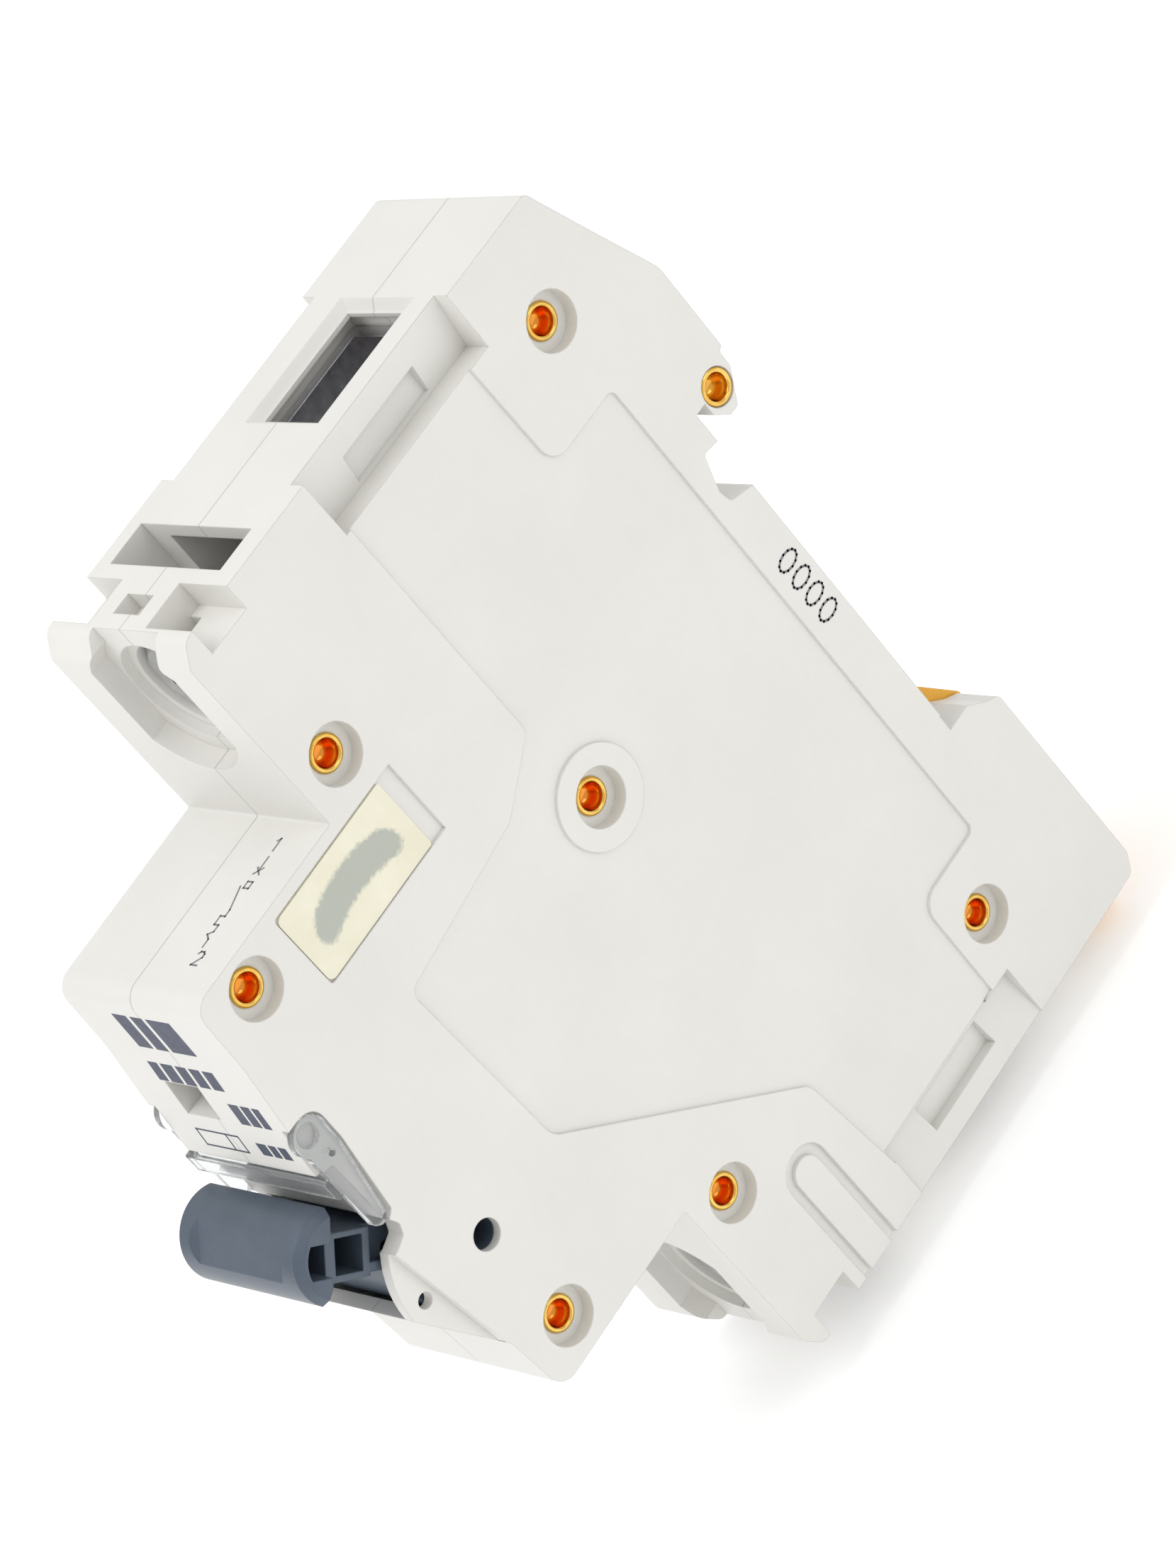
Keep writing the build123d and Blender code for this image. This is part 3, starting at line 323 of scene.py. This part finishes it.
def wire_shell(line, radius, reference, sides=10):
    """Round tube along a line: ring k is line[k] + radius (a cos + b sin), a and b square to it.

    a is the cross product of the line's direction and the reference; both ends close on a pole.
    """
    line = np.asarray(line, float)
    along = np.gradient(line, axis=0)
    along /= np.linalg.norm(along, axis=1, keepdims=True)
    a = np.cross(along, reference)
    a /= np.linalg.norm(a, axis=1, keepdims=True)
    b = np.cross(along, a)
    turn = np.linspace(0, 2 * np.pi, sides, endpoint=False)
    rings = (line[:, None] + radius * (a[:, None] * np.cos(turn)[None, :, None]
                                       + b[:, None] * np.sin(turn)[None, :, None]))
    count = len(line)
    i, j = np.meshgrid(np.arange(count - 1), np.arange(sides), indexing="ij")
    side = (j + 1) % sides
    quads = np.stack([i * sides + j, i * sides + side, (i + 1) * sides + side, (i + 1) * sides + j],
                     -1).reshape(-1, 4).tolist()
    points = np.concatenate([rings.reshape(-1, 3), line[:1], line[-1:]])
    first, last, base = len(points) - 2, len(points) - 1, (count - 1) * sides
    caps = [(first, (k + 1) % sides, k) for k in range(sides)]
    caps += [(last, base + k, base + (k + 1) % sides) for k in range(sides)]
    return points * MM, quads + caps


AXES = {"y": (1, 2, 0), "z": (2, 0, 1)}     # along the coil, then the two directions across it


def closed_coil(axis, centre, start, end, outer, wire, turns):
    """Helix along an axis: angle 2 pi t over the turns, pitch closed to one wire at both ends."""
    t = np.linspace(0, turns, int(turns * 28))
    rise = np.interp(t, [0, 1, turns - 1, turns],
                     [start + wire, start + 3.1 * wire, end - 3.1 * wire, end - wire])
    along, first, second = AXES[axis]
    line = np.empty((len(t), 3))
    line[:, along] = rise
    line[:, first] = centre[first] + (outer - wire) * np.cos(2 * np.pi * t)
    line[:, second] = centre[second] + (outer - wire) * np.sin(2 * np.pi * t)
    return line, np.eye(3)[along]


spring_wire = drawn_wire("spring_wire", (0.66, 0.66, 0.68), (0.48, 0.48, 0.50))


def put_spring(name, node, body, axis, wire, turns):
    """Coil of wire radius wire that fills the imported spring's box, in millimetres."""
    low, high = (np.array(corner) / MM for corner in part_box(node))
    along = AXES[axis][0]
    line, reference = closed_coil(axis, np.round((low + high) / 2, 3), round(low[along], 3),
                                  round(high[along], 3), round(high[0], 3), wire, turns)
    spring = add_piece(name, *wire_shell(line, wire, reference), spring_wire, body, "spring_steel")
    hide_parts(node)


put_spring("contact_coil", "contact_spring", "carrier", "y", 0.22, 9)
put_spring("plunger_coil", "plunger_spring", "plunger", "y", 0.16, 6)
put_spring("latch_coil", "rail_clip_spring", "clip", "z", 0.2, 12)

HANDLE_Y, HANDLE_Z = -56.55, -8.8       # the axis that the handle rocks on
TORSION_MEAN, TORSION_WIRE, TORSION_START, TORSION_RISE = 2.72, 0.26, 5.98, 0.36
TAIL_LONG = 5.0


def torsion_coil():
    """Helix round the handle's axis, angle 2 pi t, and then a straight tail along its last direction."""
    t = np.linspace(-0.25, 1.75, 64)[:57]
    coil = np.stack([TORSION_START + TORSION_RISE * (t + 0.25),
                     HANDLE_Y + TORSION_MEAN * np.sin(2 * np.pi * t),
                     HANDLE_Z + TORSION_MEAN * np.cos(2 * np.pi * t)], -1)
    last = coil[-1] - coil[-2]
    tail = coil[-1] + np.linspace(0.3, TAIL_LONG, 10)[:, None] * last / np.linalg.norm(last)
    return wire_shell(np.concatenate([coil, tail]), TORSION_WIRE, (1, 0, 0))


handle_coil = add_piece("handle_coil", *torsion_coil(), spring_wire, "handle", "spring_steel")
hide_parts("handle_spring")
finish(drawn_wire("link_rod", (0.70, 0.70, 0.71), (0.52, 0.52, 0.54)), "link_wire")


# ---- indicator -------------------------------------------------------------------------------
# Two-colour flag moulded in white and printed maroon over the left part of its width. It hangs
# on a cross shaft behind the window.
FLAG_EDGE, FLAG_BLUR = -0.0008, 0.00005
MAROON_LIGHT, MAROON_DARK, FLAG_WHITE = (0.29, 0.105, 0.085), (0.22, 0.075, 0.062), (0.80, 0.78, 0.74)


def flag_paint():
    """Maroon up to the edge at FLAG_EDGE across the width, white beyond it, by place X."""
    material, surface, node, link, ramp, place = speckle(
        "flag_paint", MAROON_LIGHT, MAROON_DARK, 500.0, 0.45, 3000.0, 0.000006)
    across = node("ShaderNodeSeparateXYZ", Vector=place).outputs["X"]
    edge = node("ShaderNodeMapRange", Value=across, From_Min=FLAG_EDGE - FLAG_BLUR,
                From_Max=FLAG_EDGE + FLAG_BLUR, To_Min=0.0, To_Max=1.0)
    mix = node("ShaderNodeMixRGB", Fac=edge.outputs["Result"], Color1=ramp.outputs["Color"],
               Color2=rgb(FLAG_WHITE))
    link(mix.outputs["Color"], surface.inputs["Base Color"])
    return material


finish(flag_paint(), "indicator_flag")


# ---- contacts, carrier and trip parts --------------------------------------------------------
# Black thermoset carrier and trip lever, a rolled copper arm and fixed strip with silver alloy
# pads, plain steel pins, and a rolled bimetal strip.
copper = speckle("rolled_copper", (0.80, 0.40, 0.24), (0.62, 0.28, 0.16), 420.0, 0.30, 5200.0, 0.000004,
                 metallic=1.0)[0]
black = speckle("black_thermoset", (0.030, 0.030, 0.032), (0.018, 0.018, 0.020), 300.0, 0.45, 4200.0,
                0.000008, round_edge=0.00012)[0]
silver = speckle("silver_alloy", (0.86, 0.86, 0.84), (0.70, 0.70, 0.69), 1500.0, 0.34, 7000.0, 0.000006,
                 metallic=1.0)[0]
plated = speckle("zinc_plate", (0.74, 0.75, 0.78), (0.58, 0.59, 0.62), 800.0, 0.24, 5200.0, 0.000004,
                 metallic=1.0, round_edge=0.0001)[0]
strip = speckle("bimetal_sheet", (0.60, 0.55, 0.48), (0.46, 0.41, 0.35), 380.0, 0.33, 6200.0, 0.000003,
                metallic=1.0)[0]
finish(copper, "contact_arm", "fixed_contact_strip", "terminal_bar_upper", "terminal_bar_lower")
finish(black, "contact_carrier", "trip_lever")
finish(silver, "moving_contact_pad", "fixed_contact_pad")
finish(plated, "carrier_pin", "trip_lever_pin", "calibration_screw", "clamp_cage_upper", "clamp_cage_lower",
       "terminal_screw_upper", "terminal_screw_lower")
finish(strip, "bimetal_strip")


# ---- flexible braid --------------------------------------------------------------------------
# Fine copper strands, braided over and under in both directions, from the carrier to the
# bimetal. Each strand winds round the same smooth middle line.
BRAID_WAY = [(2.4, -31.6, -12.6), (2.4, -29.6, -16.4), (2.4, -30.2, -18.9), (2.4, -33.0, -19.4),
             (2.4, -36.5, -18.0)]
BRAID_MEAN, BRAID_WAVE, STRAND_R, STRANDS_A_HAND, BRAID_TURNS = 0.36, 0.05, 0.12, 6, 5
FERRULE_R = 0.42
FERRULES = [((1.6, -31.6, -12.6), (2.45, -31.6, -12.6)), ((2.35, -36.5, -18.0), (3.9, -36.5, -18.0))]


def rounded_way(corners, samples=120):
    """Smooth line through the corners: quadratic B-spline sampled evenly in its parameter."""
    corners = np.asarray(corners, float)
    corners = np.concatenate([corners[:1], corners, corners[-1:]])
    spans = len(corners) - 2
    u = np.linspace(0, spans - 1e-6, samples)
    k = u.astype(int)
    f = (u - k)[:, None]
    before, here, after = corners[k], corners[k + 1], corners[k + 2]
    return 0.5 * (1 - f) ** 2 * before + (0.5 + f - f ** 2) * here + 0.5 * f ** 2 * after


way = rounded_way(BRAID_WAY)
along = np.gradient(way, axis=0)
along /= np.linalg.norm(along, axis=1, keepdims=True)
across = np.cross(along, (1, 0, 0))
strands = []
for hand in (1, -1):
    for start in np.arange(STRANDS_A_HAND) * 2 * np.pi / STRANDS_A_HAND:
        turn = hand * np.linspace(0, 2 * np.pi * BRAID_TURNS, len(way)) + start
        lift = BRAID_MEAN + BRAID_WAVE * np.sin(3 * turn * hand)
        strands.append(wire_shell(way + lift[:, None] * (np.cos(turn)[:, None] * np.array([1.0, 0, 0])
                                                         + np.sin(turn)[:, None] * across),
                                  STRAND_R, (1, 0.02, 0.01), sides=6))
for a, b in FERRULES:
    strands.append(wire_shell(np.linspace(a, b, 4), FERRULE_R, (0, 0, 1), sides=16))
braid = add_piece("woven_braid", *join(*strands), copper, "carrier", "contact_copper")
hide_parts("flexible_braid")


# ---- magnet ----------------------------------------------------------------------------------
# Enamelled copper wire wound on a moulded former, inside a bent steel yoke with a steel core.
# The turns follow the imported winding, which has the two leads past the yoke's cheeks.
MAGNET_Z = 17.5
WINDING_FROM, WINDING_TO, WINDING_TURNS, WINDING_MEAN, WINDING_WIRE = -32.2, -21.2, 8, 3.87, 0.62
enamel = speckle("enamelled_copper", (0.72, 0.26, 0.10), (0.55, 0.17, 0.06), 500.0, 0.18, 3000.0, 0.000003,
                 metallic=1.0)[0]
t = np.linspace(0, WINDING_TURNS, WINDING_TURNS * 40)
helix = np.stack([WINDING_MEAN * np.cos(2 * np.pi * t),
                  WINDING_FROM + (WINDING_TO - WINDING_FROM) * t / WINDING_TURNS,
                  MAGNET_Z + WINDING_MEAN * np.sin(2 * np.pi * t)], -1)
turns = wire_shell(helix, WINDING_WIRE, (0, 1, 0), sides=14)
add_piece("wound_coil", *turns, enamel, "case", "contact_copper")
finish(enamel, "magnet_coil")
former = speckle("former_nylon", (0.66, 0.62, 0.53), (0.58, 0.54, 0.45), 200.0, 0.4, 3000.0, 0.000006)[0]
finish(former, "coil_former")
steel = speckle("plain_steel", (0.44, 0.44, 0.46), (0.30, 0.30, 0.32), 500.0, 0.38, 6200.0, 0.000005,
                metallic=1.0)[0]
finish(steel, "yoke", "magnet_core", "plunger", "arc_chute_plates", "arc_runner")
card = speckle("pressed_fibre", (0.44, 0.34, 0.24), (0.33, 0.25, 0.17), 600.0, 0.75, 2600.0, 0.00002)[0]
finish(card, "arc_chute_sides")


# ---- screw threads ---------------------------------------------------------------------------
# The terminal screws are M5, rolled in zinc plated steel; the thread is one rounded ridge that
# winds along the shank.
THREAD_FROM, THREAD_TO, THREAD_R, PITCH, RIDGE = -37.0, -23.4, 2.36, 0.8, 0.16


def thread_ridge(x, z):
    """Helical ridge: a thin wire round the shank at its surface, one turn per pitch."""
    turns = (THREAD_TO - THREAD_FROM) / PITCH
    t = np.linspace(0, turns, int(turns * 24))
    line = np.stack([x + THREAD_R * np.cos(2 * np.pi * t), THREAD_FROM + PITCH * t,
                     z + THREAD_R * np.sin(2 * np.pi * t)], -1)
    return wire_shell(line, RIDGE, (0, 1, 0), sides=6)


for end in ("upper", "lower"):
    low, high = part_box("terminal_screw_" + end)
    middle = np.round(np.array(low + high) / 2 / MM, 3)
    ridge = thread_ridge(middle[0], middle[2])
    add_piece("screw_thread_" + end, *ridge, plated, "screw_" + end, "steel_zinc")


# ---- marker cover ----------------------------------------------------------------------------
# Clear polycarbonate hood that snaps over the label on two pivot pins, with polished faces.
def clear_plastic():
    """Clear, faintly cool plastic with small moulding ripples."""
    material, surface, node, link, ramp, place = speckle(
        "clear_plastic", (0.97, 0.98, 0.985), (0.93, 0.95, 0.96), 300.0, 0.07, 1800.0, 0.000004,
        rough_spread=0.02, round_edge=0.00015)
    surface.inputs["Transmission Weight"].default_value = 0.93
    surface.inputs["IOR"].default_value = 1.49
    return material


finish(clear_plastic(), "marker_cover")


# ---- side film -------------------------------------------------------------------------------
# Cream adhesive film in a shallow recess of the side, with a grey-green stamped smear that
# runs along it, thicker at both ends.
FILM_LIGHT, FILM_DARK, SMEAR_GREY = (0.82, 0.79, 0.64), (0.76, 0.73, 0.57), (0.37, 0.40, 0.36)
SMEAR_Y, SMEAR_Z, SMEAR_HALF, SMEAR_BEND = -0.0454, 0.01845, 0.0036, 45.0
SMEAR_IN, SMEAR_OUT, SMEAR_RAGGED = 0.00115, 0.00155, 0.0009


def printed_film():
    """Cream paper; the smear is a capsule bent along Y, its edge broken by noise."""
    material, surface, node, link, ramp, place = speckle(
        "printed_film", FILM_LIGHT, FILM_DARK, 260.0, 0.38, 2600.0, 0.000006)
    apart = node("ShaderNodeSeparateXYZ", Vector=place)

    def math(kind, a, b=0.0):
        made = node("ShaderNodeMath")
        made.operation = kind
        for k, value in enumerate((a, b)):
            if isinstance(value, bpy.types.NodeSocket):
                link(value, made.inputs[k])
            else:
                made.inputs[k].default_value = value
        return made.outputs[0]

    y = math("ADD", apart.outputs["Y"], -SMEAR_Y)
    bend = math("MULTIPLY", math("MULTIPLY", y, y), SMEAR_BEND)
    z = math("ADD", math("ADD", apart.outputs["Z"], -SMEAR_Z), bend)
    past = math("MAXIMUM", math("SUBTRACT", math("ABSOLUTE", y), SMEAR_HALF), 0.0)
    gap = math("SQRT", math("ADD", math("MULTIPLY", past, past), math("MULTIPLY", z, z)))
    ragged = node("ShaderNodeTexNoise", Vector=place, Scale=2600.0, Detail=3.0, Roughness=0.7)
    gap = math("ADD", gap, math("MULTIPLY", math("SUBTRACT", ragged.outputs["Fac"], 0.5), SMEAR_RAGGED))
    smear = node("ShaderNodeMapRange", Value=gap, From_Min=SMEAR_IN, From_Max=SMEAR_OUT, To_Min=0.85,
                 To_Max=0.0)
    mix = node("ShaderNodeMixRGB", Fac=smear.outputs["Result"], Color1=ramp.outputs["Color"],
               Color2=rgb(SMEAR_GREY))
    link(mix.outputs["Color"], surface.inputs["Base Color"])
    return material


finish(printed_film(), "side_film")


# ---- rail latch ------------------------------------------------------------------------------
# Yellow-orange acetal slide that hooks behind the rail, glossy from its polished mould.
latch = speckle("latch_acetal", (0.88, 0.47, 0.045), (0.80, 0.39, 0.03), 220.0, 0.27, 3600.0, 0.000008,
                round_edge=0.00015)[0]
finish(latch, "rail_clip")


# ---- printing --------------------------------------------------------------------------------
# Pad-printed marks in ink 0.015 mm proud: plain bars on the label, an empty box of cells, a
# circuit sketch with the terminals' numbers, and a plain stamp on the side.
INK_UNDER, INK_PROUD = -0.01, 0.015
STEP_Z = 22.5
LABEL_HEIGHTS, LABEL_DEPTHS = [5.7, 11.8, 16.2, STEP_Z], [-62.67, -61.9, -61.25, -60.9]


def ink(name, colour, pale):
    return speckle(name, colour, pale, 2200.0, 0.5, 6000.0, 0.000002)[0]


def strokes(lines, width):
    """Each straight stroke from (a, b) to (c, d), widened by width: corners are ends +- half width."""
    boxes = []
    for a, b, c, d in lines:
        run = np.array([c - a, d - b], float)
        run /= np.linalg.norm(run)
        square = np.array([-run[1], run[0]]) * width / 2
        ext = run * width / 2
        p, q = np.array([a, b]) - ext, np.array([c, d]) + ext
        boxes.append([p - square, q - square, q + square, p + square])
    return np.array(boxes)


def printed(name, boxes, place, material, slot):
    """Thin ink plates: each box's corners go through place(u, v, lift) at two heights."""
    boxes = np.asarray(boxes, float).reshape(-1, 4, 2)
    low = place(boxes[..., 0], boxes[..., 1], INK_UNDER)
    high = place(boxes[..., 0], boxes[..., 1], INK_PROUD)
    points = np.concatenate([low, high], 1).reshape(-1, 3) * MM
    box = np.array([(0, 3, 2, 1), (4, 5, 6, 7), (0, 1, 5, 4), (1, 2, 6, 5), (2, 3, 7, 6), (3, 0, 4, 7)])
    faces = (box[None] + 8 * np.arange(len(boxes))[:, None, None]).reshape(-1, 4)
    return add_piece(name, points, faces, material, "case", slot, smooth=False)


def on_label(u, v, lift):
    """u is X; v is height Z on the slanting label face, whose Y runs straight between known heights."""
    y = np.interp(v, LABEL_HEIGHTS, LABEL_DEPTHS)
    return np.stack([u, y - lift, v], -1)


def on_step(u, v, lift):
    """u is X, v is Y, on the flat step at STEP_Z."""
    return np.stack([u, v, STEP_Z + lift + 0 * u], -1)


def on_side(u, v, lift):
    """u is Y, v is Z, on the strip of the right side face behind the sunk panel."""
    return np.stack([HALF_WIDTH + lift + 0 * u, u, v], -1)


def bars(rows):
    """Filled bars (u0, u1, v0, v1)."""
    return [[(a, c), (b, c), (b, d), (a, d)] for a, b, c, d in rows]


navy = ink("navy_ink", (0.035, 0.045, 0.085), (0.05, 0.06, 0.10))
grey = ink("grey_ink", (0.16, 0.16, 0.17), (0.22, 0.22, 0.23))
LABEL_ROWS = [(16.9, 20.4, [(-3.7, -1.9), (-1.4, 0.1), (0.6, 3.6)]),
              (13.5, 15.3, [(-4.3, -3.1), (-2.7, -1.2), (-0.8, 0.5), (0.9, 2.2), (2.6, 3.9)]),
              (10.2, 12.2, [(3.0, 4.2), (4.5, 5.6), (5.9, 6.8)]),
              (7.1, 8.3, [(2.9, 4.1), (4.4, 5.3), (5.6, 6.6)])]
rows = [(left, right, low, high) for low, high, spans in LABEL_ROWS for left, right in spans]
printed("label_bars", bars(rows), on_label, navy, "case_plastic")
CELL_LEFT, CELL_SPLIT, CELL_RIGHT, CELL_LOW, CELL_HIGH, CELL_LINE = -4.3, -0.6, 1.0, 7.0, 8.6, 0.16
cells = strokes([(CELL_LEFT, CELL_LOW, CELL_RIGHT, CELL_LOW), (CELL_LEFT, CELL_HIGH, CELL_RIGHT, CELL_HIGH)]
                + [(x, CELL_LOW, x, CELL_HIGH) for x in (CELL_LEFT, CELL_RIGHT, CELL_SPLIT)], CELL_LINE)
printed("label_cells", cells, on_label, navy, "case_plastic")

MID = 4.65
SKETCH_LINES = [[(0, -47.3), (0, -48.4)], [(-0.35, -48.3), (0.35, -48.9)], [(0.35, -48.3), (-0.35, -48.9)],
                [(-0.3, -49.6), (0.3, -49.6)], [(-0.3, -49.6), (-0.3, -50.2)], [(0.3, -49.6), (0.3, -50.2)],
                [(-0.3, -50.2), (0.3, -50.2)], [(-0.75, -50.1), (0, -52.2)],
                [(0, -52.2), (0, -52.8), (-0.55, -52.8), (-0.55, -53.6), (0, -53.6), (0, -54.2),
                 (-0.5, -54.5), (0, -54.9), (0, -55.6)]]
sketch = [(MID + a, b, MID + c, d) for line in SKETCH_LINES for (a, b), (c, d) in zip(line[:-1], line[1:])]
printed("step_sketch", strokes(sketch, 0.15), on_step, grey, "case_plastic")

turn = np.linspace(0, 2 * np.pi, 13)
oval = np.stack([0.3 + 0.3 * np.sin(turn), 0.5 + 0.5 * np.cos(turn)], -1)
SEGMENTS = {"1": [(0.5, 0, 0.5, 1), (0.5, 1, 0.25, 0.8)],
            "2": [(0, 0.85, 0.15, 1), (0.15, 1, 0.45, 1), (0.45, 1, 0.6, 0.85), (0.6, 0.85, 0.6, 0.6),
                  (0.6, 0.6, 0, 0), (0, 0, 0.6, 0)],
            "0": np.concatenate([oval[:-1], oval[1:]], 1)}


def digit(text, u, v, size, turn=0.0):
    """Strokes of a plain numeral, scaled by size, turned and moved to (u, v)."""
    s = np.array(SEGMENTS[text], float).reshape(-1, 2, 2) * size
    c, n = np.cos(turn), np.sin(turn)
    s = s @ np.array([[c, n], [-n, c]]) + [u, v]
    return [tuple(row) for row in s.reshape(-1, 4)]


numbers = digit("1", MID - 0.6, -46.7, 1.1) + digit("2", MID + 0.1, -57.2, 1.2)
printed("step_numbers", strokes(numbers, 0.16), on_step, grey, "case_plastic")

STAMP_Y, STAMP_Z, STAMP_STEP, STAMP_SIZE = -0.75, -2.5, 1.85, 2.1
stamp = []
for k in range(4):
    stamp += digit("0", STAMP_Y, STAMP_Z + STAMP_STEP * k, STAMP_SIZE, turn=np.pi / 2)
printed("side_stamp", strokes(stamp, 0.2), on_side, grey, "case_plastic")
